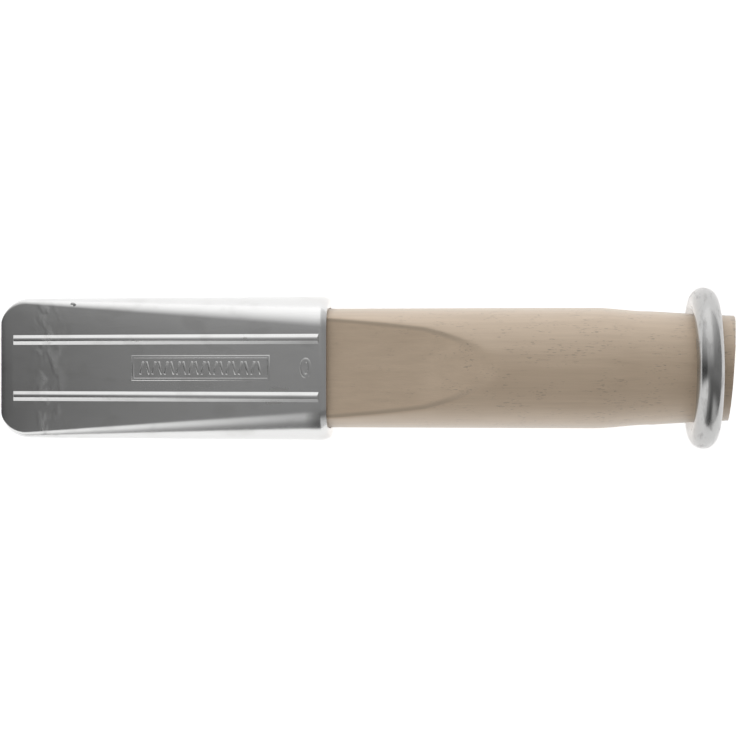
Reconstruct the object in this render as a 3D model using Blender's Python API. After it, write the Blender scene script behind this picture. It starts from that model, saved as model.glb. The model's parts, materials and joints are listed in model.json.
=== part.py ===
"""Hollow aluminium felling wedge with a wooden insert and a steel striking ring.

Every piece is modelled along the tool's own axis: X runs from the cutting edge, at 0, to the struck end,
and the two driving faces look up and down. An empty then lays the tool on Z = 0 the way it rests by itself,
on the ends of its lower ribs and on the ring, with the origin under the middle of its bounding box.
"""

import math

import bmesh
import bpy
from mathutils import Matrix

MM = 0.001

# Wedge shell
SHELL_LENGTH = 138.5 * MM
SIDE_WALL = 4.85 * MM  # at the mouth, beside the insert
WIDTH_TAPER = 1.0 * MM  # the shell is this much narrower at its cutting edge
EDGE_THICKNESS = 3.0 * MM  # at the cutting edge, before its nose is rounded
MOUTH_HEIGHT = 34.2 * MM
CORNER_RADIUS = 12.5 * MM  # of the cutting edge's two corners, seen from above
NOSE_LENGTH = 3.0 * MM
NOSE_BLUNT = 0.6 * MM  # height of the flat left at the very front
EDGE_FLANK = 1.0 * MM  # how far each rounded side reaches inwards, at the cutting edge
MOUTH_FLANK = 11.5 * MM  # and at the mouth
LIP_LENGTH = 2.8 * MM  # chamfer around the mouth, along the axis
LIP_DEPTH = 0.7 * MM
FACE_WALL = 3.2 * MM

# Ribs along both driving faces
RIB_WIDTH = 4.2 * MM
RIB_HEIGHT = 1.0 * MM
RIB_SPACING = 23.2 * MM
RIB_START = 5.7 * MM  # from the cutting edge
RIB_MOUTH_GAP = 0.6 * MM  # from the rib's end to the lip's chamfer
RIB_ROOT = 1.0 * MM  # how deep a rib is sunk into its face before they are joined

# Socket inside the shell
SOCKET_DEPTH = 94.0 * MM
SOCKET_DRAFT = math.radians(1.5)
SOCKET_LEAD = 0.8 * MM  # chamfer inside the mouth

# Wooden insert
TOOL_LENGTH = 299.0 * MM
GRIP_DIAMETER = 48.5 * MM
FIT_GAP = 0.3 * MM  # between the insert and what it is driven into
INSERT_NOSE_GAP = 4.0 * MM  # from the insert's nose to the bottom of the socket
INSERT_NOSE_CHAMFER = 2.0 * MM
RUN_OUT_START = 39.0 * MM  # beyond the mouth, where the facet starts to rise faster
RUN_OUT_SLOPE = 0.10  # added to the facet's own slope
NECK_LENGTH = 24.0 * MM  # over which the grip narrows towards the ring
SHOULDER_LENGTH = 20.0 * MM  # from the end of the neck to the middle of the ring
SHOULDER_RISE = 1.3 * MM  # radius gained over the shoulder
STUB_FALL = 0.5 * MM  # radius lost from the middle of the ring to the struck end
END_CHAMFER = 0.8 * MM
END_LEAN_ACROSS = math.radians(3.5)  # the struck end is sawn a little out of square, longest on its left
END_LEAN_DOWN = math.radians(4.0)  # and underneath

# Striking ring, bent from round bar
RING_BORE = 43.4 * MM
RING_BAR = 10.5 * MM
RING_FROM_END = 11.1 * MM  # from the middle of the ring to the struck end

# Fineness of the round shapes
QUARTER_STEPS = 9
CORNER_STEPS = 9
FLANK_STATIONS = 4
RUN_OUT_STEPS = 9
NECK_STEPS = 6
RIB_STEPS = 6
RING_SEGMENTS = 56
BAR_SEGMENTS = 20
TILT_TRIES = 50  # halvings of the interval that holds the resting tilt

FACE_SLOPE = (MOUTH_HEIGHT - EDGE_THICKNESS) / 2 / SHELL_LENGTH
GRIP_RADIUS = GRIP_DIAMETER / 2
MOUTH_WIDTH = GRIP_DIAMETER + 2 * (FIT_GAP + SIDE_WALL)
EDGE_WIDTH = MOUTH_WIDTH - WIDTH_TAPER
SOCKET_BOTTOM = SHELL_LENGTH - SOCKET_DEPTH
RING_CENTRE = TOOL_LENGTH - RING_FROM_END
RING_RADIUS = (RING_BORE + RING_BAR) / 2  # to the middle of the bar
SEAT_RADIUS = RING_BORE / 2 - FIT_GAP
NECK_END = RING_CENTRE - SHOULDER_LENGTH
NECK_RADIUS = SEAT_RADIUS + SHOULDER_RISE


def mix(start, end, share):
    """The value that lies a share of the way from start to end."""
    return start + (end - start) * share


def face_height(x):
    """Height of a driving face's plane above the axis. It goes on past the mouth."""
    return EDGE_THICKNESS / 2 + FACE_SLOPE * x


def full_ring(quarter):
    """Points (y, z) once around a section. quarter(share) gives them from the side, 0, to the top, 1."""
    first = [quarter(step / QUARTER_STEPS) for step in range(QUARTER_STEPS + 1)]
    second = [(-y, z) for y, z in reversed(first)]
    third = [(-y, -z) for y, z in first[1:]]
    fourth = [(y, -z) for y, z in reversed(first[1:])]
    return first + second + third + fourth


def shell_section(x, inset=0.0):
    """The shell's outer section at x: flat above and below, with elliptical sides."""
    half_width = mix(EDGE_WIDTH, MOUTH_WIDTH, x / SHELL_LENGTH) / 2
    if x < CORNER_RADIUS:
        half_width -= CORNER_RADIUS - math.sqrt(CORNER_RADIUS**2 - (CORNER_RADIUS - x) ** 2)
    half_height = face_height(x)
    if x < NOSE_LENGTH:
        rounding = math.sqrt(1 - (1 - x / NOSE_LENGTH) ** 2)
        half_height = mix(NOSE_BLUNT / 2, half_height, rounding)
    flank = mix(EDGE_FLANK, MOUTH_FLANK, x / SHELL_LENGTH)

    def quarter(share):
        angle = share * math.pi / 2
        y = half_width - inset - flank * (1 - math.cos(angle))
        return y, (half_height - inset) * math.sin(angle)

    return full_ring(quarter)


def flatted_section(radius, half_height):
    """A circle with flats above and below, at half_height from the axis."""
    corner = math.asin(min(half_height / radius, 1.0))

    def quarter(share):
        return radius * math.cos(share * corner), radius * math.sin(share * corner)

    return full_ring(quarter)


def round_section(radius):
    """A whole circle."""
    return flatted_section(radius, radius)


def socket_section(x, offset=0.0):
    """The socket's section at x, or the insert's where offset is minus the gap."""
    radius = GRIP_RADIUS + FIT_GAP - (SHELL_LENGTH - x) * math.tan(SOCKET_DRAFT)
    return flatted_section(radius + offset, face_height(x) - FACE_WALL + offset)


def across(x, points):
    """A section's points (y, z), on the plane at x."""
    return [(x, y, z) for y, z in points]


def sawn(x, points):
    """A section's points (y, z), on the leaning plane of the struck end's cut. It meets the axis at x."""
    left = math.tan(END_LEAN_ACROSS)
    down = math.tan(END_LEAN_DOWN)
    return [(x + left * y - down * z, y, z) for y, z in points]


def loft(name, sections, material=None):
    """A closed body through sections, which all have as many points."""
    shape = bmesh.new()
    loops = [[shape.verts.new(point) for point in section] for section in sections]
    for loop, following in zip(loops, loops[1:]):
        for i, corner in enumerate(loop):
            shape.faces.new((loop[i - 1], following[i - 1], following[i], corner))
    for end in (loops[0], loops[-1]):
        shape.faces.new(end)
    return finish(name, shape, material)


def finish(name, shape, material):
    """Turns a bmesh into a named object, with doubles merged and its faces pointing out."""
    bmesh.ops.remove_doubles(shape, verts=shape.verts, dist=0.001 * MM)
    bmesh.ops.recalc_face_normals(shape, faces=shape.faces)
    mesh = bpy.data.meshes.new(name)
    shape.to_mesh(mesh)
    shape.free()
    piece = bpy.data.objects.new(name, mesh)
    bpy.context.scene.collection.objects.link(piece)
    if material:
        mesh.materials.append(material)
    return piece


def shade(piece, sharp_angle):
    """Smooth shading, with edges sharper than sharp_angle kept crisp."""
    piece.data.shade_smooth()
    piece.data.set_sharp_from_angle(angle=sharp_angle)


def make_material(name, colour, roughness, metallic):
    """A plain Principled material."""
    material = bpy.data.materials.new(name)
    material.use_nodes = True
    shader = material.node_tree.nodes["Principled BSDF"]
    shader.inputs["Base Color"].default_value = (*colour, 1.0)
    shader.inputs["Roughness"].default_value = roughness
    shader.inputs["Metallic"].default_value = metallic
    return material


def make_rib(name, side, face):
    """A round-topped bar along a driving face: side is -1 or 1 across, and face is -1 below or 1 above."""
    end = SHELL_LENGTH - LIP_LENGTH - RIB_MOUTH_GAP
    profile = [(RIB_WIDTH / 2, -RIB_ROOT), (-RIB_WIDTH / 2, -RIB_ROOT)]
    for step in range(RIB_STEPS + 1):
        angle = math.pi * (1 - step / RIB_STEPS)
        profile.append((RIB_WIDTH / 2 * math.cos(angle), RIB_HEIGHT * math.sin(angle)))
    middle = side * RIB_SPACING / 2
    sections = []
    for x in (RIB_START, end):
        points = [(middle + y, face * (face_height(x) + rise)) for y, rise in profile]
        sections.append(across(x, points))
    return loft(name, sections)


def join(piece, tool):
    """Unites tool with piece by a Boolean, and keeps tool as a hidden helper."""
    tool.hide_render = True
    tool.display_type = "WIRE"
    tool.parent = piece
    union = piece.modifiers.new(tool.name, "BOOLEAN")
    union.operation = "UNION"
    union.solver = "EXACT"
    union.object = tool


def make_shell():
    """The hollow wedge: outside from the cutting edge to the mouth, then back in to the socket's bottom."""
    aluminium = make_material("cast_aluminium", (0.62, 0.62, 0.60), 0.34, 1.0)
    outside = [
        CORNER_RADIUS * (1 - math.cos(math.pi / 2 * step / CORNER_STEPS))
        for step in range(CORNER_STEPS + 1)
    ]
    lip_start = SHELL_LENGTH - LIP_LENGTH
    outside += [
        mix(CORNER_RADIUS, lip_start, step / FLANK_STATIONS)
        for step in range(1, FLANK_STATIONS + 1)
    ]
    sections = [across(x, shell_section(x)) for x in outside]
    sections.append(across(SHELL_LENGTH, shell_section(SHELL_LENGTH, LIP_DEPTH)))
    sections.append(across(SHELL_LENGTH, socket_section(SHELL_LENGTH, SOCKET_LEAD)))
    lead_end = SHELL_LENGTH - SOCKET_LEAD
    sections += [across(x, socket_section(x)) for x in (lead_end, SOCKET_BOTTOM)]
    shell = loft("wedge_shell", sections, aluminium)
    for face, face_name in ((1, "upper"), (-1, "lower")):
        for side, side_name in ((1, "left"), (-1, "right")):
            join(shell, make_rib(f"{face_name}_{side_name}_rib", side, face))
    shade(shell, math.radians(25))
    return shell


def facet_height(x):
    """Half-height of the insert's two facets, which follow the driving faces and then run out faster."""
    run_out = max(x - SHELL_LENGTH - RUN_OUT_START, 0.0)
    return face_height(x) - FACE_WALL - FIT_GAP + RUN_OUT_SLOPE * run_out


def insert_radius(x):
    """Radius of the insert outside the shell: the grip, the neck, then straight to the ring's seat."""
    if x > NECK_END:
        return mix(NECK_RADIUS, SEAT_RADIUS, (x - NECK_END) / SHOULDER_LENGTH)
    share = max(1 - (NECK_END - x) / NECK_LENGTH, 0.0)
    return mix(GRIP_RADIUS, NECK_RADIUS, (1 - math.cos(share * math.pi)) / 2)


def run_out_stations():
    """Places along the run-out, closer together towards its end, where the facet meets the round grip."""
    start = SHELL_LENGTH + RUN_OUT_START
    opening = math.acos(facet_height(start) / GRIP_RADIUS)
    places = []
    for step in range(1, RUN_OUT_STEPS + 1):
        height = GRIP_RADIUS * math.cos(opening * (1 - step / RUN_OUT_STEPS))
        places.append(start + (height - facet_height(start)) / (FACE_SLOPE + RUN_OUT_SLOPE))
    return places


def make_insert():
    """The wooden insert: a nose that fills the socket, a round grip, and a narrower seat for the ring."""
    wood = make_material("bare_beech", (0.60, 0.48, 0.36), 0.62, 0.0)
    nose = SOCKET_BOTTOM + INSERT_NOSE_GAP
    nose_back = nose + INSERT_NOSE_CHAMFER
    sections = [across(nose, socket_section(nose_back, -FIT_GAP - INSERT_NOSE_CHAMFER / 2))]
    sections += [across(x, socket_section(x, -FIT_GAP)) for x in (nose_back, SHELL_LENGTH)]

    places = [mix(SHELL_LENGTH, SHELL_LENGTH + RUN_OUT_START, share) for share in (1 / 3, 2 / 3, 1.0)]
    places += run_out_stations()
    places += [NECK_END - NECK_LENGTH * (1 - step / NECK_STEPS) for step in range(NECK_STEPS + 1)]
    places.append(RING_CENTRE)
    for x in sorted(places):
        radius = insert_radius(x)
        sections.append(across(x, flatted_section(radius, min(facet_height(x), radius))))

    stub_radius = SEAT_RADIUS - STUB_FALL
    sections.append(sawn(TOOL_LENGTH - END_CHAMFER, round_section(stub_radius)))
    sections.append(sawn(TOOL_LENGTH, round_section(stub_radius - END_CHAMFER)))
    insert = loft("wooden_insert", sections, wood)
    shade(insert, math.radians(8))
    return insert


def make_ring():
    """The steel ring on the insert's narrow end."""
    steel = make_material("bright_steel", (0.55, 0.55, 0.54), 0.25, 1.0)
    shape = bmesh.new()
    bar_place = Matrix.Translation((RING_CENTRE, 0.0, RING_RADIUS)) @ Matrix.Rotation(math.pi / 2, 4, "X")
    bmesh.ops.create_circle(shape, segments=BAR_SEGMENTS, radius=RING_BAR / 2, matrix=bar_place)
    bmesh.ops.spin(
        shape,
        geom=shape.verts[:] + shape.edges[:],
        cent=(0.0, 0.0, 0.0),
        axis=(1.0, 0.0, 0.0),
        angle=2 * math.pi,
        steps=RING_SEGMENTS,
        use_merge=True,
    )
    ring = finish("striking_ring", shape, steel)
    shade(ring, math.radians(60))
    return ring


def corners_of(piece):
    """The piece's points as the viewport evaluates them, along the tool's own axis."""
    graph = bpy.context.evaluated_depsgraph_get()
    return [corner.co.copy() for corner in piece.evaluated_get(graph).data.vertices]


def lowest(corners, tilt):
    """Height of the lowest corner once the tool's struck end is raised by tilt."""
    return min(co.z * math.cos(tilt) + co.x * math.sin(tilt) for co in corners)


def resting_tilt(shell, ring):
    """The tilt at which shell and ring touch the ground together."""
    shell_corners = corners_of(shell)
    ring_corners = corners_of(ring)
    low, high = 0.0, math.radians(45)
    for _ in range(TILT_TRIES):
        tilt = (low + high) / 2
        if lowest(ring_corners, tilt) < lowest(shell_corners, tilt):
            low = tilt
        else:
            high = tilt
    return (low + high) / 2


def lay_down(pieces, tilt):
    """Parents the pieces to an empty that tilts them and puts the origin under their bounding box."""
    turn = Matrix.Rotation(-tilt, 4, "Y")
    corners = [turn @ corner for piece in pieces for corner in corners_of(piece)]
    along = [corner.x for corner in corners]
    across = [corner.y for corner in corners]
    tool = bpy.data.objects.new("tool_axis", None)
    bpy.context.scene.collection.objects.link(tool)
    tool.rotation_euler = (0.0, -tilt, 0.0)
    tool.location = (
        -(min(along) + max(along)) / 2,
        -(min(across) + max(across)) / 2,
        -min(corner.z for corner in corners),
    )
    for piece in pieces:
        piece.parent = tool


def main():
    """Builds the tool."""
    for old in list(bpy.data.objects):
        bpy.data.objects.remove(old)
    shell = make_shell()
    insert = make_insert()
    ring = make_ring()
    bpy.context.view_layer.update()
    lay_down([shell, insert, ring], resting_tilt(shell, ring))


main()
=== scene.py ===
"""A hollow felling wedge: an aluminium shell, a wooden insert driven into it, and a steel striking ring.

Every piece is modelled along the tool's own axis, which runs from the cutting edge, at 0, to the struck
end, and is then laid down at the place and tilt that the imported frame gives.
"""

from __future__ import annotations

import json
import logging
import math
from dataclasses import dataclass, field
from enum import Enum
from typing import Any, Callable, Iterable, Mapping, Sequence

import bmesh
import bpy
from mathutils import Matrix, Vector


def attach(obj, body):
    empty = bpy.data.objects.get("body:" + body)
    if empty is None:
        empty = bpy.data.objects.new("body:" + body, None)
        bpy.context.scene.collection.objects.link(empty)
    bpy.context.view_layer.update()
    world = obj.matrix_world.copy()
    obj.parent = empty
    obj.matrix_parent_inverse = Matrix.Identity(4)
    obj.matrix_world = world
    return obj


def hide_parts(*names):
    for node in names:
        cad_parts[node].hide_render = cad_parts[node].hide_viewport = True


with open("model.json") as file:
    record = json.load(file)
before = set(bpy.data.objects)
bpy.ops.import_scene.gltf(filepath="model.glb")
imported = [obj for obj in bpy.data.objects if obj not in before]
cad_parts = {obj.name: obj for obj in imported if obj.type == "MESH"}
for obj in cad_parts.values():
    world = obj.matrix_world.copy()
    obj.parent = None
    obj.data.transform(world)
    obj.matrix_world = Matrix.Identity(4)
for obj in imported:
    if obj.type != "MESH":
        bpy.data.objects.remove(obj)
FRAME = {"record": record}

MM = 0.001
TINY = 0.002 * MM
DOUBLED = 0.001 * MM
LOG = logging.getLogger("felling_wedge")

Triple = tuple[float, float, float]
Body = bpy.types.Object
Socket = bpy.types.NodeSocket
Edge = bmesh.types.BMEdge


def mix(start: float, end: float, share: float) -> float:
    """The value that lies a share of the way from start to end."""
    return start + (end - start) * share


def steps(start: float, end: float, longest: float) -> list[float]:
    """Even places after start, up to and with end, none further apart than longest."""
    count = math.ceil((end - start) / longest)
    return [mix(start, end, step / count) for step in range(1, count + 1)]


class Side(Enum):
    """A direction across the tool."""

    LEFT = 1
    RIGHT = -1


class Carving(Enum):
    """What a tool does to the piece that it is put to."""

    ADD = "UNION"
    TAKE = "DIFFERENCE"


class Face(Enum):
    """One of the two driving faces."""

    UPPER = 1
    LOWER = -1


# ----- Shader expressions


class Signal:
    """A value socket that can stand in an expression. Each operator adds one Math node."""

    def __init__(self, graph: Graph, socket: Socket) -> None:
        """Wraps a socket of a graph."""
        self.graph = graph
        self.socket = socket

    def __add__(self, other: Signal | float) -> Signal:
        """The sum."""
        return self.graph.maths("ADD", self, other)

    __radd__ = __add__

    def __sub__(self, other: Signal | float) -> Signal:
        """The difference."""
        return self.graph.maths("SUBTRACT", self, other)

    def __rsub__(self, other: Signal | float) -> Signal:
        """The difference, the other way round."""
        return self.graph.maths("SUBTRACT", other, self)

    def __mul__(self, other: Signal | float) -> Signal:
        """The product."""
        return self.graph.maths("MULTIPLY", self, other)

    __rmul__ = __mul__

    def __truediv__(self, other: Signal | float) -> Signal:
        """The quotient."""
        return self.graph.maths("DIVIDE", self, other)

    def __pow__(self, other: Signal | float) -> Signal:
        """The power."""
        return self.graph.maths("POWER", self, other)

    def most(self, other: Signal | float) -> Signal:
        """The greater of the two."""
        return self.graph.maths("MAXIMUM", self, other)

    def least(self, other: Signal | float) -> Signal:
        """The lesser of the two."""
        return self.graph.maths("MINIMUM", self, other)

    def sine(self) -> Signal:
        """The sine."""
        return self.graph.maths("SINE", self)

    def fade(self, start: float, end: float) -> Signal:
        """A smooth step.

        Args:
            start: the value at which the step is 0.
            end: the value at which it is 1, which may be the smaller of the two.

        Returns:
            The step, from 0 to 1.
        """
        settings = {"interpolation_type": "SMOOTHSTEP"}
        low, high = min(start, end), max(start, end)
        step = self.graph.node("MapRange", settings, {"Value": self, "From Min": low, "From Max": high})
        rising = Signal(self.graph, step.outputs["Result"])
        return rising if start < end else 1 - rising


class Graph:
    """The node tree of one material."""

    seed_shift: Triple = (3.1, 7.7, 5.3)

    def __init__(self, name: str) -> None:
        """Starts a material with a Principled shader.

        Args:
            name: the material's name.
        """
        self.material = bpy.data.materials.new(name)
        self.material.use_nodes = True
        self.tree = self.material.node_tree
        self.shader = self.tree.nodes["Principled BSDF"]

    def node(
        self,
        kind: str,
        settings: Mapping[str, Any] | None = None,
        inputs: Mapping[str | int, Any] | None = None,
    ) -> bpy.types.Node:
        """Adds a node.

        Args:
            kind: its type, without the words that all shader node types start with.
            settings: its own settings, which are set first.
            inputs: numbers, colours, sockets or signals for its inputs, by name or place.

        Returns:
            The node.
        """
        made = self.tree.nodes.new("ShaderNode" + kind)
        for name, value in (settings or {}).items():
            setattr(made, name, value)
        for name, value in (inputs or {}).items():
            self.feed(made.inputs[name], value)
        return made

    def feed(self, socket: Socket, value: Any) -> None:
        """Links a signal or a socket to an input, or sets the input to a plain value.

        Args:
            socket: the input.
            value: a signal, a socket, a colour or a number.
        """
        if isinstance(value, Signal):
            self.tree.links.new(value.socket, socket)
        elif isinstance(value, Socket):
            self.tree.links.new(value, socket)
        elif isinstance(value, tuple) and socket.type == "RGBA":
            socket.default_value = (*value, 1.0)
        else:
            socket.default_value = value

    def set_shader(self, values: Mapping[str, Any]) -> None:
        """Feeds or sets the inputs of the Principled shader."""
        for name, value in values.items():
            self.feed(self.shader.inputs[name], value)

    def maths(self, operation: str, *values: Signal | float) -> Signal:
        """One Math node as a signal."""
        made = self.node("Math", {"operation": operation}, dict(enumerate(values)))
        return Signal(self, made.outputs[0])

    def along_tool(self, pose: ToolPose) -> Socket:
        """The shaded point along the tool's own axis, in millimetres.

        Args:
            pose: the tool's pose.

        Returns:
            The point, measured from the cutting edge.
        """
        here = self.node("TexCoord").outputs["Object"]
        inputs = {
            "Vector": here,
            "Location": tuple(pose.edge),
            "Rotation": (0.0, -pose.tilt, 0.0),
            "Scale": (MM, MM, MM),
        }
        return self.node("Mapping", {"vector_type": "TEXTURE"}, inputs).outputs["Vector"]

    def parts(self, where: Socket) -> tuple[Signal, Signal, Signal]:
        """The three numbers of a vector."""
        split = self.node("SeparateXYZ", inputs={"Vector": where})
        return tuple(Signal(self, socket) for socket in split.outputs)

    def noise(
        self,
        where: Socket,
        grain: Triple,
        detail: float = 2.0,
        seed: float = 0.0,
        roughness: float = 0.5,
    ) -> Signal:
        """A cloudy pattern.

        Args:
            where: the point, in millimetres.
            grain: the size of a cloud along each axis, in millimetres.
            detail: how many finer layers it has.
            seed: moves the pattern, so that two of them differ.
            roughness: the strength of the finer layers.

        Returns:
            A value around a half, between 0 and 1.
        """
        factors = tuple(1 / size for size in grain)
        shift = tuple(seed * far for far in self.seed_shift)
        inputs = {0: where, 1: factors, 2: shift}
        scaled = self.node("VectorMath", {"operation": "MULTIPLY_ADD"}, inputs).outputs["Vector"]
        inputs = {"Vector": scaled, "Scale": 1.0, "Detail": detail, "Roughness": roughness}
        made = self.node("TexNoise", {"noise_dimensions": "3D"}, inputs)
        return Signal(self, made.outputs[0])

    def blend(self, share: Signal | float, first: Any, second: Any) -> Socket:
        """Two colours mixed: share 0 gives the first."""
        settings = {"data_type": "RGBA", "clamp_factor": True}
        return self.node("Mix", settings, {0: share, 6: first, 7: second}).outputs[2]

    def relief(self, height: Signal) -> None:
        """Lets a height in millimetres tilt the surface, without moving it."""
        made = self.node("Bump", inputs={"Height": height, "Distance": MM, "Strength": 1.0})
        self.feed(self.shader.inputs["Normal"], made.outputs["Normal"])


# ----- Modelling


class Bench:
    """A mesh in edit mode. Corners or edges are picked by place, and operators act on what is picked."""

    def __init__(self, piece: Body) -> None:
        """Takes the piece that will be worked on."""
        self.piece = piece

    def __enter__(self) -> Bench:
        """Opens the mesh with nothing picked.

        Returns:
            The bench itself.
        """
        alone(self.piece)
        bpy.ops.object.mode_set(mode="EDIT")
        bpy.ops.mesh.select_mode(type="VERT")
        bpy.ops.mesh.select_all(action="DESELECT")
        return self

    def __exit__(self, *_: object) -> None:
        """Closes the mesh."""
        bpy.ops.mesh.select_mode(type="VERT")
        bpy.ops.object.mode_set(mode="OBJECT")

    def pick(self, wanted: Callable[[Vector], bool]) -> None:
        """Picks the corners whose place is wanted, and nothing else.

        Args:
            wanted: tells whether a place is wanted.
        """
        bpy.ops.mesh.select_mode(type="VERT")
        bpy.ops.mesh.select_all(action="DESELECT")
        shape = bmesh.from_edit_mesh(self.piece.data)
        for corner in shape.verts:
            if wanted(corner.co):
                corner.select = True
        shape.select_flush_mode()
        bmesh.update_edit_mesh(self.piece.data)

    def pick_edges(self, wanted: Callable[[Edge], bool]) -> None:
        """Picks the wanted edges, and nothing else.

        Args:
            wanted: tells whether an edge is wanted.
        """
        bpy.ops.mesh.select_mode(type="EDGE")
        bpy.ops.mesh.select_all(action="DESELECT")
        shape = bmesh.from_edit_mesh(self.piece.data)
        for edge in [edge for edge in shape.edges if wanted(edge)]:
            edge.select = True
        shape.select_flush_mode()
        bmesh.update_edit_mesh(self.piece.data)

    def pick_all(self) -> None:
        """Picks the whole mesh."""
        bpy.ops.mesh.select_all(action="SELECT")

    def extrude(self, shift: Triple) -> None:
        """Draws what is picked out of itself, and leaves the new part picked."""
        bpy.ops.mesh.extrude_region_move(TRANSFORM_OT_translate={"value": shift})

    def move(self, shift: Triple) -> None:
        """Moves what is picked."""
        bpy.ops.transform.translate(value=shift)

    def stretch(self, factors: Triple, centre: Triple) -> None:
        """Scales what is picked about a centre."""
        bpy.ops.transform.resize(value=factors, center_override=centre)

    def bevel(self, width: float, segments: int) -> None:
        """Rounds the picked edges."""
        bpy.ops.mesh.bevel(offset=width, segments=segments, offset_type="OFFSET", clamp_overlap=True)

    def cap(self) -> None:
        """Fills the picked loop with one face."""
        bpy.ops.mesh.edge_face_add()

    def mend(self) -> None:
        """Merges doubled corners and points every face outwards."""
        self.pick_all()
        bpy.ops.mesh.remove_doubles(threshold=DOUBLED)
        bpy.ops.mesh.normals_make_consistent(inside=False)


def alone(*pieces: Body) -> None:
    """Selects the given pieces only, and makes the first one active.

    Args:
        pieces: the pieces to select.
    """
    bpy.ops.object.select_all(action="DESELECT")
    for piece in pieces:
        piece.select_set(True)
    bpy.context.view_layer.objects.active = pieces[0]


def fresh(name: str) -> Body:
    """Names the primitive that was just added, and moves its place into its mesh.

    Args:
        name: the piece's name.

    Returns:
        The piece.
    """
    piece = bpy.context.object
    piece.name = name
    piece.data.name = name
    alone(piece)
    bpy.ops.object.transform_apply(location=True, rotation=True, scale=True)
    return piece


def add_box(name: str, middle: Triple, size: Triple) -> Body:
    """Starts a piece from a box.

    Args:
        name: the piece's name.
        middle: the box's middle.
        size: its size along each axis.

    Returns:
        The piece.
    """
    bpy.ops.object.select_all(action="DESELECT")
    bpy.ops.mesh.primitive_cube_add(size=1.0, location=middle, scale=size)
    return fresh(name)


def add_sheet(name: str, middle: Triple, size: tuple[float, float]) -> Body:
    """Starts a piece from a flat rectangle that looks up.

    Args:
        name: the piece's name.
        middle: the rectangle's middle.
        size: its length and width.

    Returns:
        The piece.
    """
    bpy.ops.object.select_all(action="DESELECT")
    bpy.ops.mesh.primitive_plane_add(size=1.0, location=middle)
    bpy.ops.transform.resize(value=(*size, 1.0), center_override=middle)
    return fresh(name)


def add_hoop(name: str, x: float, radius: float, corners: int) -> Body:
    """Starts a piece from an open circle around the tool's axis.

    Args:
        name: the piece's name.
        x: the circle's distance from the cutting edge.
        radius: its radius.
        corners: how many corners it has.

    Returns:
        The piece.
    """
    bpy.ops.object.select_all(action="DESELECT")
    bpy.ops.mesh.primitive_circle_add(
        vertices=corners, radius=radius, location=(x, 0.0, 0.0), rotation=(0.0, math.pi / 2, 0.0)
    )
    return fresh(name)


def copied(piece: Body, name: str) -> Body:
    """A copy of a piece, with its own mesh.

    Args:
        piece: the piece that is copied.
        name: the copy's name.

    Returns:
        The copy.
    """
    alone(piece)
    bpy.ops.object.duplicate(linked=False)
    copy = bpy.context.object
    copy.name = name
    copy.data.name = name
    return copy


def placed(piece: Body, place: Matrix) -> Body:
    """Puts a piece at a place and moves that into its mesh.

    Args:
        piece: the piece.
        place: its place and its turn.

    Returns:
        The same piece.
    """
    piece.matrix_world = place
    alone(piece)
    bpy.ops.object.transform_apply(location=True, rotation=True, scale=True)
    return piece


def merged(pieces: Sequence[Body]) -> Body:
    """Joins pieces into the first one.

    Args:
        pieces: the pieces, of which the first one takes in the others.

    Returns:
        The joined piece.
    """
    alone(*pieces)
    bpy.ops.object.join()
    return bpy.context.object


def carve(piece: Body, tool: Body, carving: Carving) -> None:
    """Unites a tool with a piece, or takes it away from it, and removes the tool.

    Args:
        piece: the piece, which stays.
        tool: the shape that is put to it.
        carving: what the tool does.
    """
    alone(piece)
    cut = piece.modifiers.new("carve", "BOOLEAN")
    cut.operation = carving.value
    cut.solver = "EXACT"
    cut.object = tool
    bpy.ops.object.modifier_apply(modifier=cut.name)
    bpy.data.objects.remove(tool)


@dataclass(frozen=True)
class ToolPose:
    """Where the tool's own axis lies: its cutting edge's place, and how far its struck end is raised."""

    edge: Vector
    tilt: float

    @classmethod
    def from_record(cls, record: Mapping[str, Any], mount_from_edge: float) -> ToolPose:
        """Works the pose out from the two driving faces, which are alike above and below the axis.

        Args:
            record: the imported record.
            mount_from_edge: how far behind the cutting edge the faces' mounts lie.

        Returns:
            The pose.
        """
        mounts = {mount["name"]: mount for mount in record["mounts"]}
        upper, lower = mounts["driving_face_upper"], mounts["driving_face_lower"]
        ahead = (Vector(upper["axis"]) + Vector(lower["axis"])).normalized()
        middle = (Vector(upper["pos_m"]) + Vector(lower["pos_m"])) / 2
        return cls(middle + ahead * mount_from_edge, math.atan2(-ahead.z, -ahead.x))

    def matrix(self) -> Matrix:
        """Takes a point along the tool's own axis to its place in the frame."""
        return Matrix.Translation(self.edge) @ Matrix.Rotation(-self.tilt, 4, "Y")


class Piece:
    """What the tool's pieces share: a place, a name, and the CAD node that each one stands for."""

    node: str = ""
    slot: str = ""
    smooth_angle: float = math.radians(30)

    def __init__(self, pose: ToolPose) -> None:
        """Takes the tool's pose."""
        self.pose = pose
        self.body: Body | None = None

    def lay_down(self) -> None:
        """Puts the finished mesh at its place in the frame, and has it replace its CAD node."""
        placed(self.body, self.pose.matrix())
        bpy.ops.object.shade_smooth_by_angle(angle=self.smooth_angle)
        self.body.name = self.node + "_piece"
        self.body.data.name = self.body.name
        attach(self.body, "root")
        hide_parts(self.node)
        LOG.info("%s: %d faces", self.body.name, len(self.body.data.polygons))

    def dress(self, material: bpy.types.Material) -> None:
        """Gives the piece its finish."""
        self.body.data.materials.clear()
        self.body.data.materials.append(material)


# ----- Wedge shell


@dataclass(frozen=True)
class Section:
    """A section of the shell: flat above and below, with elliptical sides."""

    x: float
    half_width: float
    half_height: float
    flank: float

    @property
    def flat(self) -> float:
        """Half the width of the flat."""
        return self.half_width - self.flank


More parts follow.
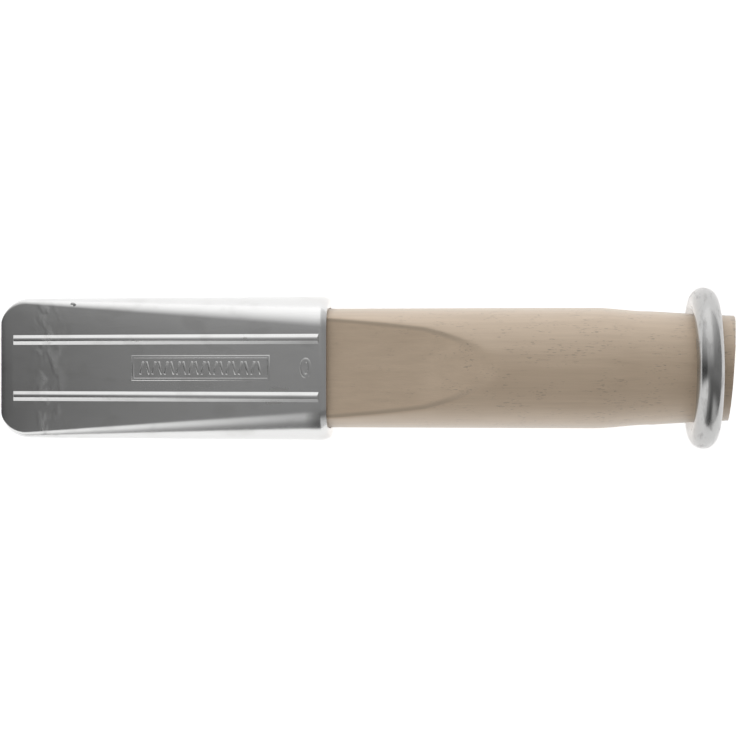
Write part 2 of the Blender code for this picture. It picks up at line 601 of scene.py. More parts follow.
@dataclass
class ShellSizes:
    """Sizes of the wedge shell, in metres."""

    length: float = 138.5 * MM
    mouth_width: float = 58.8 * MM
    edge_width: float = 57.8 * MM
    edge_thickness: float = 3.0 * MM
    mouth_height: float = 34.2 * MM
    corner_radius: float = 12.5 * MM
    nose_length: float = 2.0 * MM
    nose_blunt: float = 0.6 * MM
    edge_flank: float = 1.6 * MM
    mouth_flank: float = 13.3 * MM
    lip_length: float = 2.8 * MM
    lip_depth: float = 1.1 * MM
    lip_curve: float = 1.3
    face_wall: float = 3.2 * MM
    socket_depth: float = 94.0 * MM
    socket_radius: float = 24.55 * MM
    socket_draft: float = math.radians(1.5)
    socket_lead: float = 0.8 * MM
    rib_width: float = 4.0 * MM
    rib_crest: float = 1.05 * MM
    rib_height: float = 0.8 * MM
    rib_root: float = 1.0 * MM
    rib_round: float = 0.45 * MM
    rib_end_draft: float = 0.6 * MM
    rib_spacing: float = 23.2 * MM
    rib_start: float = 6.2 * MM
    rib_mouth_gap: float = 0.1 * MM
    panel_start: float = 58.0 * MM
    panel_end: float = 116.4 * MM
    panel_width: float = 10.4 * MM
    panel_line: float = 1.2 * MM
    panel_margin: float = 4.4 * MM
    relief_height: float = 0.12 * MM
    relief_draft: float = 0.40 * MM
    grain_count: int = 20
    grain_size: tuple[float, float] = (5.4 * MM, 1.1 * MM)
    grain_lean: float = math.radians(14)
    mark_place: float = 131.2 * MM
    mark_size: tuple[float, float] = (4.9 * MM, 8.1 * MM)
    mark_hole: tuple[float, float] = (0.30, 0.56)
    nub_place: tuple[float, float] = (32.4 * MM, 26.3 * MM)
    nub_radii: Triple = (1.1 * MM, 0.95 * MM, 0.7 * MM)
    nub_shoulder: float = 0.4 * MM

    @property
    def slope(self) -> float:
        """How fast a driving face rises."""
        return (self.mouth_height - self.edge_thickness) / 2 / self.length

    def face_height(self, x: float) -> float:
        """Height of a driving face above the axis."""
        return self.edge_thickness / 2 + self.slope * x

    def section(self, x: float, inset: float = 0.0) -> Section:
        """The outer section at x.

        Args:
            x: its distance from the cutting edge.
            inset: how far it lies inside the full section.

        Returns:
            The section, with the plan's round corners and the rounded nose taken off.
        """
        half_width = mix(self.edge_width, self.mouth_width, x / self.length) / 2
        if x < self.corner_radius:
            missing = self.corner_radius - x
            half_width -= self.corner_radius - math.sqrt(self.corner_radius**2 - missing**2)
        half_height = self.face_height(x)
        if x < self.nose_length:
            rounding = math.sqrt(1 - (1 - x / self.nose_length) ** 2)
            half_height = mix(self.nose_blunt / 2, half_height, rounding)
        flank = mix(self.edge_flank, self.mouth_flank, x / self.length)
        return Section(x, half_width - inset, half_height - inset, flank)


class WedgeShell(Piece):
    """The hollow aluminium casting that is driven into the cut."""

    node = "wedge_shell"
    slot = "cast_aluminium"
    sizes = ShellSizes()
    smooth_angle = math.radians(24)
    quarter_corners = 20
    corner_steps = 16
    socket_corners = 144
    mark_corners = 40
    station_gap = 6.0 * MM
    lip_steps = 4
    cut_beyond = 3.0 * MM
    relief_depth = 2.4
    relief_spread = 1.1

    def build(self) -> None:
        """Models the whole casting."""
        self.body = self.build_wedge()
        carve(self.body, self.build_socket(), Carving.TAKE)
        self.round_mouth()
        for face in Face:
            for side in Side:
                carve(self.body, self.build_rib(side, face), Carving.ADD)
        carve(self.body, self.build_reliefs(), Carving.ADD)
        with Bench(self.body) as bench:
            bench.mend()
        self.lay_down()

    def sections(self) -> list[Section]:
        """The outer sections from the cutting edge to the mouth.

        Returns:
            The sections, in order.
        """
        sizes = self.sizes
        turns = [math.pi / 2 * step / self.corner_steps for step in range(self.corner_steps + 1)]
        places = [sizes.corner_radius * (1 - math.cos(turn)) for turn in turns]
        lip_start = sizes.length - sizes.lip_length
        places += steps(sizes.corner_radius, lip_start, self.station_gap)
        sections = [sizes.section(x) for x in places]
        for step in range(1, self.lip_steps + 1):
            share = step / self.lip_steps
            x = lip_start + sizes.lip_length * share
            sections.append(sizes.section(x, sizes.lip_depth * share**sizes.lip_curve))
        return sections

    def build_wedge(self) -> Body:
        """The outside, drawn out of one loop at the cutting edge.

        Returns:
            The wedge, still solid.
        """
        sections = self.sections()
        first = sections[0]
        wedge = add_hoop("wedge", first.x, 1.0, 4 * self.quarter_corners)
        with Bench(wedge) as bench:
            bench.pick(lambda co: co.y < -TINY)
            bpy.ops.mesh.delete(type="VERT")
            bench.pick_all()
            bench.stretch((1.0, first.flank, first.half_height), (first.x, 0.0, 0.0))
            bench.move((0.0, first.flat, 0.0))
            bpy.ops.mesh.duplicate()
            bench.stretch((1.0, -1.0, 1.0), (0.0, 0.0, 0.0))
            for height in (first.half_height, -first.half_height):
                bench.pick(lambda co: abs(co.z - height) < TINY / 10)
                bench.cap()
            bench.pick_all()
            bench.cap()
            for section, following in zip(sections, sections[1:]):
                self.draw_out(bench, section, following)
            bench.pick(lambda co: abs(co.x - sections[-1].x) < TINY)
            bench.cap()
            bench.mend()
        return wedge

    @staticmethod
    def draw_out(bench: Bench, section: Section, following: Section) -> None:
        """Extrudes one section into the next one, each of its sides about its own middle.

        Args:
            bench: the open mesh.
            section: the section that is there.
            following: the next section.
        """
        bench.pick(lambda co: abs(co.x - section.x) < TINY)
        bpy.ops.mesh.select_mode(type="EDGE")
        bench.extrude((following.x - section.x, 0.0, 0.0))
        wider = following.flank / section.flank
        higher = following.half_height / section.half_height
        for side in Side:
            across = side.value
            bench.pick(lambda co: abs(co.x - following.x) < TINY and co.y * across > 0)
            bench.stretch((1.0, wider, higher), (following.x, across * section.flat, 0.0))
            bench.move((0.0, across * (following.flat - section.flat), 0.0))

    def build_socket(self) -> Body:
        """The hollow: a tapered round bar with a flat above and below.

        Returns:
            The solid that is taken out of the wedge.
        """
        sizes = self.sizes
        bottom = sizes.length - sizes.socket_depth
        top = sizes.length + self.cut_beyond
        thinner = math.tan(sizes.socket_draft)
        radius = sizes.socket_radius - sizes.socket_depth * thinner
        socket = add_hoop("socket", bottom, radius, self.socket_corners)
        with Bench(socket) as bench:
            bench.pick_all()
            bench.cap()
            bench.extrude((top - bottom, 0.0, 0.0))
            factor = (sizes.socket_radius + self.cut_beyond * thinner) / radius
            bench.stretch((1.0, factor, factor), (top, 0.0, 0.0))
            lean = math.atan(sizes.slope)
            for face in Face:
                bench.pick_all()
                bpy.ops.mesh.bisect(
                    plane_co=(0.0, 0.0, face.value * (sizes.edge_thickness / 2 - sizes.face_wall)),
                    plane_no=(-math.sin(lean), 0.0, face.value * math.cos(lean)),
                    use_fill=True,
                    clear_outer=True,
                )
            bench.mend()
        return socket

    def round_mouth(self) -> None:
        """Breaks the edge inside the mouth."""
        sizes = self.sizes
        ceiling = sizes.mouth_height / 2 - sizes.lip_depth - MM

        def on_mouth(edge: Edge) -> bool:
            """Tells whether an edge runs around the opening.

            Args:
                edge: an edge of the casting.

            Returns:
                Whether it does.
            """
            ends = [end.co for end in edge.verts]
            inner = all(math.hypot(end.y, end.z) < sizes.socket_radius + TINY for end in ends)
            return inner and all(abs(end.x - sizes.length) < TINY and abs(end.z) < ceiling for end in ends)

        with Bench(self.body) as bench:
            bench.pick_edges(on_mouth)
            bench.bevel(sizes.socket_lead, 3)

    def build_rib(self, side: Side, face: Face) -> Body:
        """One rib: a box drawn in to a narrow crest, with its edges rounded.

        Args:
            side: the side of the face that it runs along.
            face: the face that it stands on.

        Returns:
            The rib, at its place on the face.
        """
        sizes = self.sizes
        end = sizes.length - sizes.lip_length - sizes.rib_mouth_gap
        length = (end - sizes.rib_start) * math.hypot(1.0, sizes.slope)
        rib = add_box("rib", (length / 2, 0.0, 0.0), (length, sizes.rib_width, 2 * sizes.rib_root))
        with Bench(rib) as bench:
            bench.pick(lambda co: co.z > 0)
            bench.move((0.0, 0.0, -sizes.rib_root))
            bench.extrude((0.0, 0.0, sizes.rib_height))
            shorter, narrower = 1 - sizes.rib_end_draft / length, sizes.rib_crest / sizes.rib_width
            bench.stretch((shorter, narrower, 1.0), (length / 2, 0.0, sizes.rib_height))
            bench.pick_edges(lambda edge: all(end.co.z > sizes.rib_height - TINY for end in edge.verts))
            bench.bevel(sizes.rib_round, 4)
            bench.mend()
        middle = (sizes.rib_start, side.value * sizes.rib_spacing / 2, sizes.face_height(sizes.rib_start))
        place = Matrix.Translation(middle) @ Matrix.Rotation(-math.atan(sizes.slope), 4, "Y")
        placed(rib, place)
        if face is Face.LOWER:
            with Bench(rib) as bench:
                bench.pick_all()
                bench.stretch((1.0, 1.0, -1.0), (0.0, 0.0, 0.0))
                bench.mend()
        return rib

    def build_reliefs(self) -> Body:
        """The framed panel, the oval mark and the nub, all raised from the upper face.

        Returns:
            The reliefs, at their places on the face.
        """
        sizes = self.sizes
        reliefs = merged([self.build_frame(), self.build_mark(), *self.build_grains()])
        lean = Matrix.Rotation(-math.atan(sizes.slope), 4, "Y")
        placed(reliefs, Matrix.Translation((0.0, 0.0, sizes.face_height(0.0))) @ lean)
        return merged([reliefs, self.build_nub()])

    def raise_relief(self, piece: Body) -> Body:
        """Turns a flat outline at z = 0 into a low boss with sloping sides, its foot below the face.

        Args:
            piece: the flat outline.

        Returns:
            The same piece, raised.
        """
        sizes = self.sizes
        depth = self.relief_depth * sizes.relief_draft
        alone(piece)
        wall = piece.modifiers.new("height", "SOLIDIFY")
        wall.thickness = depth
        wall.offset = 1.0
        bpy.ops.object.modifier_apply(modifier=wall.name)
        with Bench(piece) as bench:
            bench.pick_edges(
                lambda edge: all(end.co.z > depth - TINY for end in edge.verts)
                and sorted(round(face.normal.z) for face in edge.link_faces) == [0, 1]
            )
            bench.bevel(sizes.relief_draft, 2)
            bench.pick_all()
            flatter = self.relief_spread * sizes.relief_height / sizes.relief_draft
            bench.stretch((1.0, 1.0, flatter), (0.0, 0.0, depth))
            bench.move((0.0, 0.0, sizes.relief_height - depth))
            bench.mend()
        return piece

    def build_frame(self) -> Body:
        """The raised line around the panel.

        Returns:
            The frame, raised from z = 0.
        """
        sizes = self.sizes
        length = sizes.panel_end - sizes.panel_start
        middle = (sizes.panel_start + length / 2, 0.0, 0.0)
        frame = add_sheet("panel_frame", middle, (length, sizes.panel_width))
        with Bench(frame) as bench:
            bench.pick_all()
            bpy.ops.mesh.inset(thickness=sizes.panel_line)
            bpy.ops.mesh.delete(type="FACE")
        return self.raise_relief(frame)

    def build_mark(self) -> Body:
        """The plain oval ring near the mouth.

        Returns:
            The mark, raised from z = 0.
        """
        sizes = self.sizes
        middle = (sizes.mark_place, 0.0, 0.0)
        bpy.ops.object.select_all(action="DESELECT")
        bpy.ops.mesh.primitive_circle_add(vertices=self.mark_corners, radius=0.5, location=middle)
        mark = fresh("oval_mark")
        with Bench(mark) as bench:
            bench.pick_all()
            bench.stretch((*sizes.mark_size, 1.0), middle)
            bench.extrude((0.0, 0.0, 0.0))
            bench.stretch((*sizes.mark_hole, 1.0), middle)
            bench.pick_all()
            bpy.ops.mesh.normals_make_consistent(inside=False)
            self.face_up(bench)
        return self.raise_relief(mark)

    @staticmethod
    def face_up(bench: Bench) -> None:
        """Turns a flat mesh's faces up, if they look down.

        Args:
            bench: the open mesh.
        """
        shape = bmesh.from_edit_mesh(bench.piece.data)
        if sum(face.normal.z for face in shape.faces) < 0:
            bpy.ops.mesh.flip_normals()

    def build_grains(self) -> list[Body]:
        """A row of short slanting bars in the panel, each leaning against the one before it.

        Returns:
            The bars, raised from z = 0.
        """
        sizes = self.sizes
        bar = self.raise_relief(add_sheet("grain", (0.0, 0.0, 0.0), sizes.grain_size))
        start, end = sizes.panel_start + sizes.panel_margin, sizes.panel_end - sizes.panel_margin
        grains = []
        for number in range(sizes.grain_count):
            lean = sizes.grain_lean * (1 if number % 2 else -1)
            x = mix(start, end, number / (sizes.grain_count - 1))
            place = Matrix.Translation((x, 0.0, 0.0)) @ Matrix.Rotation(math.pi / 2 + lean, 4, "Z")
            grains.append(placed(copied(bar, f"grain_{number}"), place))
        bpy.data.objects.remove(bar)
        return grains

    def build_nub(self) -> Body:
        """The small rest of a casting gate on the upper left edge.

        Returns:
            The nub, at its place on the face.
        """
        sizes = self.sizes
        x, y = sizes.nub_place
        height = sizes.face_height(x)
        middle = (x, y, height)
        bpy.ops.object.select_all(action="DESELECT")
        bpy.ops.mesh.primitive_uv_sphere_add(segments=20, ring_count=12, radius=1.0, location=middle)
        nub = fresh("nub")
        with Bench(nub) as bench:
            bench.pick_all()
            bench.stretch(sizes.nub_radii, middle)
            bench.pick(lambda co: co.z > height + sizes.nub_shoulder)
            bench.stretch((1.0, 1.0, 0.5), (x, y, height + sizes.nub_shoulder))
            bench.mend()
        return nub


# ----- Wooden insert


@dataclass
class InsertSizes:
    """Sizes of the wooden insert, in metres."""

    shell: ShellSizes = field(default_factory=ShellSizes)
    gap: float = 0.3 * MM
    nose_gap: float = 4.0 * MM
    nose_chamfer: float = 2.0 * MM
    grip_radius: float = 24.25 * MM
    run_out_start: float = 39.0 * MM
    run_out_slope: float = 0.10
    neck_length: float = 24.0 * MM
    neck_end: float = 267.9 * MM
    neck_radius: float = 22.7 * MM
    ring_centre: float = 287.9 * MM
    seat_radius: float = 21.4 * MM
    stub_fall: float = 0.5 * MM
    length: float = 299.0 * MM
    end_chamfer: float = 0.8 * MM
    end_lean_across: float = math.radians(3.5)
    end_lean_down: float = math.radians(4.0)

    def radius(self, x: float) -> float:
        """Radius of the turned body at x.

        Args:
            x: the distance from the cutting edge.

        Returns:
            The radius there, before the facets are planed.
        """
        shell = self.shell
        if x < shell.length:
            return self.grip_radius - (shell.length - x) * math.tan(shell.socket_draft)
        if x > self.ring_centre:
            share = (x - self.ring_centre) / (self.length - self.ring_centre)
            return self.seat_radius - self.stub_fall * share
        if x > self.neck_end:
            share = (x - self.neck_end) / (self.ring_centre - self.neck_end)
            return mix(self.neck_radius, self.seat_radius, share)
        share = max(1 - (self.neck_end - x) / self.neck_length, 0.0)
        return mix(self.grip_radius, self.neck_radius, (1 - math.cos(share * math.pi)) / 2)

    def facet_height(self, x: float) -> float:
        """Half-height of the two facets, which follow the driving faces and then run out faster."""
        run_out = max(x - self.shell.length - self.run_out_start, 0.0)
        return self.shell.face_height(x) - self.shell.face_wall - self.gap + self.run_out_slope * run_out


class WoodenInsert(Piece):
    """The turned billet that fills the socket and is struck."""

    node = "wooden_insert"
    slot = "bare_beech"
    sizes = InsertSizes()
    smooth_angle = math.radians(28)
    corners = 216
    fine_gap = 1.25 * MM
    coarse_gap = 9.0 * MM
    cut_beyond = 3.0 * MM
    rolled_depth = 0.8 * MM
    rolled_side = 0.35 * MM

    def build(self) -> None:
        """Turns the body, planes its facets and saws its end."""
        sizes = self.sizes
        nose = sizes.shell.length - sizes.shell.socket_depth + sizes.nose_gap
        nose_back = nose + sizes.nose_chamfer
        self.body = add_hoop("insert", nose, sizes.radius(nose) - sizes.nose_chamfer / 2, self.corners)
        places = [nose_back]
        places += steps(nose_back, sizes.shell.length - MM, self.coarse_gap)
        places += steps(sizes.shell.length - MM, sizes.length + self.cut_beyond, self.fine_gap)
        with Bench(self.body) as bench:
            bench.pick_all()
            bench.cap()
            self.turn_body(bench, nose, places)
            self.plane_facets(bench, [nose, *places])
            self.roll_facet_edges(bench)
            self.saw_end(bench)
            bench.mend()
        self.lay_down()

    def turn_body(self, bench: Bench, nose: float, places: Iterable[float]) -> None:
        """Draws the body out of its nose, one ring of corners after another.

        Args:
            bench: the open mesh.
            nose: where its nose starts.
            places: where each ring after it lies.
        """
        sizes = self.sizes
        here, radius = nose, sizes.radius(nose) - sizes.nose_chamfer / 2
        for x in places:
            wanted = sizes.radius(x)
            bench.extrude((x - here, 0.0, 0.0))
            bench.stretch((1.0, wanted / radius, wanted / radius), (x, 0.0, 0.0))
            here, radius = x, wanted

    def plane_facets(self, bench: Bench, places: Iterable[float]) -> None:
        """Presses the body flat above and below, as far as the facets reach.

        Args:
            bench: the open mesh.
            places: where the body's rings lie.
        """
        sizes = self.sizes
        for x in places:
            height = sizes.facet_height(x)
            if height >= sizes.radius(x):
                continue
            for face in Face:
                up = face.value
                bench.pick(lambda co: abs(co.x - x) < TINY and co.z * up > height)
                bench.stretch((1.0, 1.0, 0.0), (x, 0.0, up * height))

    def roll_facet_edges(self, bench: Bench) -> None:
        """Softens the edge around each facet, as sanding does.

        Args:
            bench: the open mesh.
        """
        sizes = self.sizes

        def near_edge(co: Vector) -> bool:
            """Tells whether a corner lies on or beside a facet's edge.

            Args:
                co: the corner's place.

            Returns:
                Whether it does.
            """
            if co.x < sizes.shell.length + 0.5 * MM or co.x > sizes.neck_end:
                return False
            depth = sizes.facet_height(co.x) - abs(co.z)
            side = abs(math.hypot(co.y, co.z) - sizes.radius(co.x))
            return depth < self.rolled_depth and side < self.rolled_side

        bench.pick(near_edge)
        bpy.ops.mesh.vertices_smooth(factor=0.5, repeat=4)

    def saw_end(self, bench: Bench) -> None:
        """Saws the struck end a little out of square, and breaks its edge.

        Args:
            bench: the open mesh.
        """
        sizes = self.sizes
        left, down = math.tan(sizes.end_lean_across), math.tan(sizes.end_lean_down)
        normal = Vector((1.0, -left, down)).normalized()
        middle = Vector((sizes.length, 0.0, 0.0))
        bench.pick_all()
        bpy.ops.mesh.bisect(plane_co=middle, plane_no=normal, use_fill=True, clear_outer=True)

        def on_cut(edge: Edge) -> bool:
            """Tells whether an edge lies in the cut."""
            return all(abs((end.co - middle).dot(normal)) < TINY for end in edge.verts)

        bench.pick_edges(on_cut)
        bench.bevel(sizes.end_chamfer, 3)


# ----- Striking ring


@dataclass
class RingSizes:
    """Sizes of the striking ring, in metres."""

    centre: float = 287.9 * MM
    bore: float = 43.4 * MM
    bar: float = 10.5 * MM
    weld_turn: float = math.radians(235)
    weld_spread: float = math.radians(9)
    weld_swell: float = 0.35 * MM

    @property
    def radius(self) -> float:
        """Radius to the middle of the bar."""
        return (self.bore + self.bar) / 2


class StrikingRing(Piece):
    """The ring of round steel bar that keeps the struck end from splitting."""

    node = "striking_ring"
    slot = "bright_steel"
    sizes = RingSizes()
    smooth_angle = math.radians(60)
    around = 160
    across = 40

    def build(self) -> None:
        """Bends the bar, and swells it where its ends are welded."""
        sizes = self.sizes
        bpy.ops.object.select_all(action="DESELECT")
        bpy.ops.mesh.primitive_torus_add(
            major_segments=self.around,
            minor_segments=self.across,
            major_radius=sizes.radius,
            minor_radius=sizes.bar / 2,
            location=(sizes.centre, 0.0, 0.0),
            rotation=(0.0, math.pi / 2, 0.0),
        )
        self.body = fresh("ring")
        with Bench(self.body) as bench:
            self.swell_weld(bench)
            bench.mend()
        self.lay_down()

    def swell_weld(self, bench: Bench) -> None:
        """Thickens the bar outwards and sideways around the weld.

        Args:
            bench: the open mesh.
        """
        sizes = self.sizes
        turn = sizes.weld_turn
        outwards = Vector((0.0, math.cos(turn), math.sin(turn)))
        middle = Vector((sizes.centre, 0.0, 0.0)) + outwards * sizes.radius
        for spread in (1.0, 0.6):
            reach = sizes.weld_spread * spread

            def near(co: Vector) -> bool:
                """Tells whether a corner is on the outer half of the bar and near the weld.

                Args:
                    co: the corner's place.

                Returns:
                    Whether it is.
                """
                here = Vector((0.0, co.y, co.z))
                outer = here.length > sizes.radius
                return outer and here.angle(outwards) < reach

            bench.pick(near)
            swell = 1 + sizes.weld_swell / sizes.bar
            bench.stretch((swell, 1.0, 1.0), tuple(middle))
            bench.move(tuple(outwards * sizes.weld_swell / 2))
            bpy.ops.mesh.vertices_smooth(factor=0.5, repeat=2)


# ----- Finishes


@dataclass(frozen=True)
class CastAluminium:
    """Satin aluminium as it comes from the die, with clouds, smudges and a few dark specks."""

    name: str = "cast_aluminium"
    bright: Triple = (0.755, 0.755, 0.75)
    dull: Triple = (0.58, 0.576, 0.565)
    roughness: float = 0.17
    flow_in: tuple[float, float] = (13.0, 20.0)
    flow_out: tuple[float, float] = (31.0, 22.0)
    smudges: tuple[tuple[float, float, float, float], ...] = (
        (119.5, -8.4, 4.5, 0.9),
        (117.5, -13.9, 4.0, 0.7),
        (60.0, 11.2, 1.4, 0.6),
        (105.5, 11.9, 1.3, 0.7),
    )

    def make(self, pose: ToolPose) -> bpy.types.Material:
        """Builds the material.

        Args:
            pose: the tool's pose, which the patterns follow.

        Returns:
            The material.
        """
        graph = Graph(self.name)
        where = graph.along_tool(pose)
        x, y, _ = graph.parts(where)
        clouds = graph.noise(where, (14.0, 9.0, 9.0), detail=3.0, seed=1.0)
        streaks = graph.noise(where, (30.0, 1.1, 1.1), detail=2.0, seed=2.0)
        grain = graph.noise(where, (0.35, 0.35, 0.35), detail=2.0, seed=3.0)
        waves = graph.noise(where, (26.0, 11.0, 11.0), detail=1.0, seed=4.0)
        marks = self.marks(x, y)
        patches = graph.noise(where, (4.5, 6.0, 6.0), detail=1.5, seed=5.0).fade(0.40, 0.72)
        flow = x.fade(*self.flow_in) * x.fade(*self.flow_out) * patches
        dirt = (clouds.fade(0.50, 0.72) * 0.35 + streaks.fade(0.58, 0.75) * 0.12 + marks * 0.9).least(1.0)
        graph.set_shader(
            {
                "Base Color": graph.blend(dirt, self.bright, self.dull),
                "Metallic": 1.0,
                "Roughness": self.roughness + clouds * 0.06 + grain * 0.03 + flow * 0.06 + marks * 0.1,
            }
        )
        graph.relief(grain * 0.006 + waves * 0.05 + streaks * 0.003 + flow * 0.06)
        return graph.material

    def marks(self, x: Signal, y: Signal) -> Signal:
        """Dark specks and smudges, each at its place along and across the upper face.

        Args:
            x: the distance from the cutting edge.
            y: the distance to the left of the axis.

        Returns:
            How strongly the surface is marked, from 0 to 1.
        """
        total: Signal | float = 0.0
        for place, across, long, wide in self.smudges:
            away = ((x - place) / long) ** 2.0 + ((y - across) / wide) ** 2.0
            total = away.fade(1.0, 0.3) + total
        return total.least(1.0)


@dataclass(frozen=True)
class BareBeech:
    """Turned, untreated beech: fine grain along the tool, with short dark flecks."""

    name: str = "bare_beech"
    light: Triple = (0.765, 0.60, 0.435)
    dark: Triple = (0.60, 0.455, 0.315)
    fleck: Triple = (0.30, 0.21, 0.14)
    # Painted shade: the colour of the darker line along each facet's edge.
    facet_edge_shade_colour: Triple = (0.40, 0.31, 0.22)
    end_dark: Triple = (0.40, 0.30, 0.21)
    pith: tuple[float, float] = (14.0, -60.0)
    grip_radius: float = 24.25
    sawn_end: tuple[float, float] = (297.6, 298.4)

    def make(self, pose: ToolPose) -> bpy.types.Material:
        """Builds the material.

        Args:
            pose: the tool's pose, which the grain follows.

        Returns:
            The material.
        """
        graph = Graph(self.name)
        where = graph.along_tool(pose)
        x, y, z = graph.parts(where)
        drift = graph.noise(where, (120.0, 18.0, 18.0), detail=1.0, seed=1.0)
        ring = self.ring_distance(graph, y, z, drift)
        bands = (ring * 2.4).sine() * 0.5 + 0.5
        fibres = graph.noise(where, (14.0, 0.4, 0.4), detail=3.0, seed=2.0, roughness=0.6)
        streaks = graph.noise(where, (38.0, 2.0, 2.0), detail=2.0, seed=3.0)
        clouds = graph.noise(where, (26.0, 13.0, 13.0), detail=2.0, seed=5.0)
        fleck_noise = graph.noise(where, (2.4, 0.42, 0.42), detail=1.0, seed=4.0)
        fleck_rows = graph.noise(where, (9.0, 5.0, 5.0), detail=1.0, seed=6.0)
        flecks = fleck_noise.fade(0.61, 0.69) * fleck_rows.fade(0.44, 0.60)
        shade = bands * 0.10 + fibres * 0.55 + streaks * 0.75 + clouds * 0.5 - 0.455
        colour = graph.blend(shade, self.light, self.dark)
        colour = graph.blend(flecks * (x.fade(150.0, 200.0) * 0.42 + 0.12), colour, self.fleck)
        # Painted shade: darkens a thin line along each facet's edge, where shade falls at the step.
        colour = graph.blend(self.painted_facet_edge_shade(graph, x, y, z) * 0.55, colour, self.facet_edge_shade_colour)
        end = x.fade(*self.sawn_end)
        end_rings = (ring * 2.6).sine().fade(0.1, 0.9) * 0.5 + 0.25
        colour = graph.blend(end * end_rings, colour, self.end_dark)
        graph.set_shader(
            {
                "Base Color": colour,
                "Roughness": 0.46 + fibres * 0.12,
                "Specular IOR Level": 0.8,
                "Coat Weight": 0.8,
                "Coat Roughness": 0.45,
                "Sheen Weight": 0.8,
                "Sheen Roughness": 0.4,
            }
        )
        graph.relief(fibres * 0.05 - flecks * 0.04 + streaks * 0.05)
        return graph.material

    def painted_facet_edge_shade(self, graph: Graph, x: Signal, y: Signal, z: Signal) -> Signal:
        """Painted shade: the darker line just inside each facet's edge, where the round body starts to be
        cut away; it stands in for the shade that falls at that step.
        """
        depth = self.grip_radius - graph.maths("SQRT", y * y + z * z)
        return depth.fade(0.05, 0.35) * depth.fade(1.6, 0.6) * x.fade(206.0, 182.0)

    def ring_distance(self, graph: Graph, y: Signal, z: Signal, drift: Signal) -> Signal:
        """Distance from the tree's pith, which lies outside the billet, bent by a slow drift.

        Args:
            graph: the material's nodes.
            y: the distance to the left of the axis.
            z: the height above the axis.
            drift: how the rings wander along the billet.

        Returns:
            The distance, in millimetres.
        """
        away_y, away_z = y - self.pith[0], z - self.pith[1]
        squared = away_y * away_y + away_z * away_z
        return graph.maths("SQRT", squared) + drift * 9.0


@dataclass(frozen=True)
class BrightSteel:
    """Bar stock, drawn bright and a little stained."""

    name: str = "bright_steel"
    bright: Triple = (0.485, 0.483, 0.478)
    stained: Triple = (0.30, 0.296, 0.29)
    roughness: float = 0.17

    def make(self, pose: ToolPose) -> bpy.types.Material:
        """Builds the material.

        Args:
            pose: the tool's pose, which the patterns follow.

        Returns:
            The material.
        """
        graph = Graph(self.name)
        where = graph.along_tool(pose)
        mottle = graph.noise(where, (1.8, 6.0, 6.0), detail=4.0, seed=1.0)
        fine = graph.noise(where, (0.6, 0.6, 0.6), detail=2.0, seed=2.0)
        waves = graph.noise(where, (7.0, 7.0, 7.0), detail=1.0, seed=3.0)
        stain = mottle.fade(0.50, 0.75)
        graph.set_shader(
            {
                "Base Color": graph.blend(stain * 0.55, self.bright, self.stained),
                "Metallic": 1.0,
                "Roughness": self.roughness + stain * 0.12 + fine * 0.05,
            }
        )
        graph.relief(waves * 0.06 + mottle * 0.03 + fine * 0.004)
        return graph.material


# ----- Studio


@dataclass(frozen=True)
class TentGlow:
    """How bright the tent is in each direction. White is 1."""

    radius: float = 3.0
    nose: float = 0.05
    mouth: float = 0.238
    struck: float = 0.27
    left_rise: float = 1.14
    left_struck_rise: float = 0.68
    right_tip: float = 1.16
    right_middle: float = 0.41
    right_struck: float = 0.17
    right_end: float = 0.70

    def make(self) -> bpy.types.Material:
        """Builds the tent's material: dim above the tool, bright on its left, mixed on its right.

        Returns:
            The material.
        """
        graph = Graph("light_tent")
        here = graph.node("TexCoord").outputs["Object"]
        inputs = {0: here, 1: (1 / self.radius,) * 3}
        away = graph.node("VectorMath", {"operation": "MULTIPLY"}, inputs).outputs["Vector"]
        x, y, _ = graph.parts(away)
        behind = x.fade(0.05, 0.45)
        top = x.fade(-0.505, -0.67) * (self.nose - self.mouth) + self.mouth
        top = top + behind * (self.struck - self.mouth)
        up_left = y.most(0.0)
        left = up_left * self.left_rise
        left = left + behind * (up_left * up_left * self.left_struck_rise - left)
        lean = x + y * 0.18
        right = lean.fade(-0.15, -0.46) * (self.right_middle - self.right_struck) + self.right_struck
        right = right + lean.fade(-0.47, -0.60) * (self.right_tip - self.right_middle)
        right = right * (1 - y.fade(-0.60, -0.95) * 0.45)
        corner = y.fade(-0.50, -0.80) * x.fade(0.10, 0.40)
        right = right + corner * (self.right_end - self.right_struck)
        glow = top + left + y.fade(-0.15, -0.38) * (right - top)
        lamp = graph.node("Emission", inputs={"Color": glow, "Strength": 1.0})
        graph.feed(graph.tree.nodes["Material Output"].inputs["Surface"], lamp.outputs[0])
        return graph.material


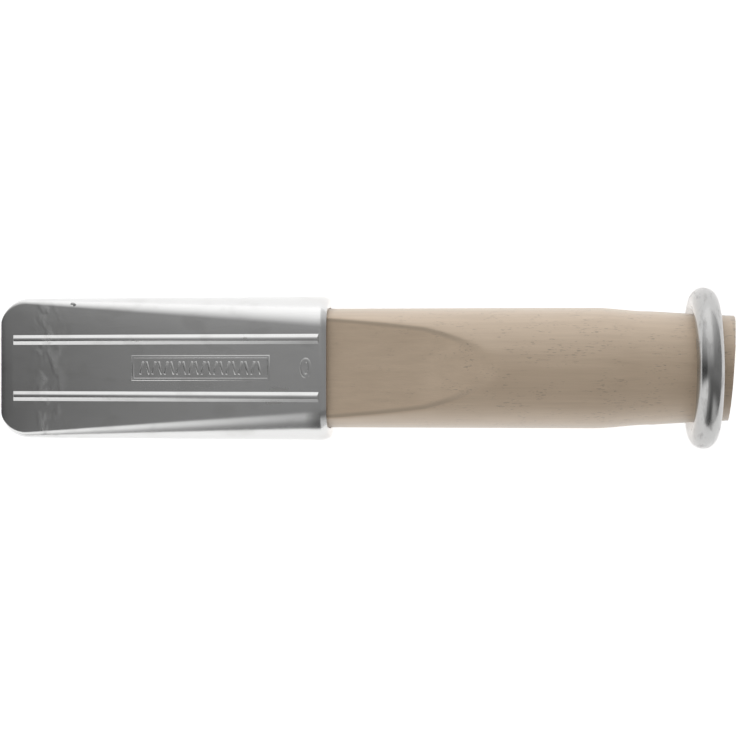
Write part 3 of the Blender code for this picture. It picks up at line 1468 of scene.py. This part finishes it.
class Studio:
    """A white floor inside a soft light tent, and the camera."""

    tent: TentGlow = TentGlow()
    world_glow: float = 1.0
    floor_glow: float = 0.75
    floor_size: float = 30.0
    floor_gap: float = 0.2 * MM
    camera_place: Triple = (0.0025, 0.0, 0.654)
    lens: float = 76.2
    sensor_width: float = 36.0

    def build(self) -> None:
        """Sets up floor, tent, light and camera."""
        self.lay_floor()
        self.raise_tent()
        self.light_world()
        self.set_camera()
        bpy.context.scene.view_settings.view_transform = "Standard"

    def lay_floor(self) -> None:
        """A wide pale floor."""
        floor = add_sheet("floor", (0.0, 0.0, -self.floor_gap), (self.floor_size, self.floor_size))
        graph = Graph("pale_floor")
        graph.set_shader(
            {
                "Base Color": (0.82, 0.82, 0.82),
                "Roughness": 0.9,
                "Specular IOR Level": 0.1,
                "Emission Color": (1.0, 1.0, 1.0),
                "Emission Strength": self.floor_glow,
            }
        )
        floor.data.materials.append(graph.material)

    def raise_tent(self) -> None:
        """Stands a dome over everything. It lights and is mirrored, but the camera sees through it."""
        bpy.ops.object.select_all(action="DESELECT")
        bpy.ops.mesh.primitive_uv_sphere_add(segments=64, ring_count=32, radius=self.tent.radius)
        dome = fresh("light_tent")
        with Bench(dome) as bench:
            bench.pick(lambda co: co.z < -TINY)
            bpy.ops.mesh.delete(type="VERT")
        dome.data.materials.append(self.tent.make())
        dome.visible_camera = False

    def light_world(self) -> None:
        """Even white light from all around."""
        world = bpy.data.worlds.new("light_tent")
        world.use_nodes = True
        background = world.node_tree.nodes["Background"]
        background.inputs["Color"].default_value = (1.0, 1.0, 1.0, 1.0)
        background.inputs["Strength"].default_value = self.world_glow
        bpy.context.scene.world = world

    def set_camera(self) -> None:
        """Looks straight down on the tool."""
        bpy.ops.object.camera_add(location=self.camera_place, rotation=(0.0, 0.0, 0.0))
        camera = bpy.context.object
        camera.data.lens = self.lens
        camera.data.sensor_width = self.sensor_width
        bpy.context.scene.camera = camera


def corners(box: tuple[Vector, Vector]) -> list[list[float]]:
    """A box's two corners as plain lists."""
    return [list(corner) for corner in box]


def main() -> None:
    """Builds the studio and the tool's pieces in order."""
    logging.basicConfig(level=logging.INFO, format="%(name)s: %(message)s")
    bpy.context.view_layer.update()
    pose = ToolPose.from_record(FRAME["record"], mount_from_edge=35.0 * MM)
    Studio().build()
    work = (
        (WedgeShell(pose), CastAluminium()),
        (WoodenInsert(pose), BareBeech()),
        (StrikingRing(pose), BrightSteel()),
    )
    for piece, finish in work:
        piece.build()
        piece.dress(finish.make(pose))
        LOG.info("%s is dressed in %s", piece.body.name, finish.name)
    bpy.context.view_layer.update()


if __name__ == "__main__":
    main()
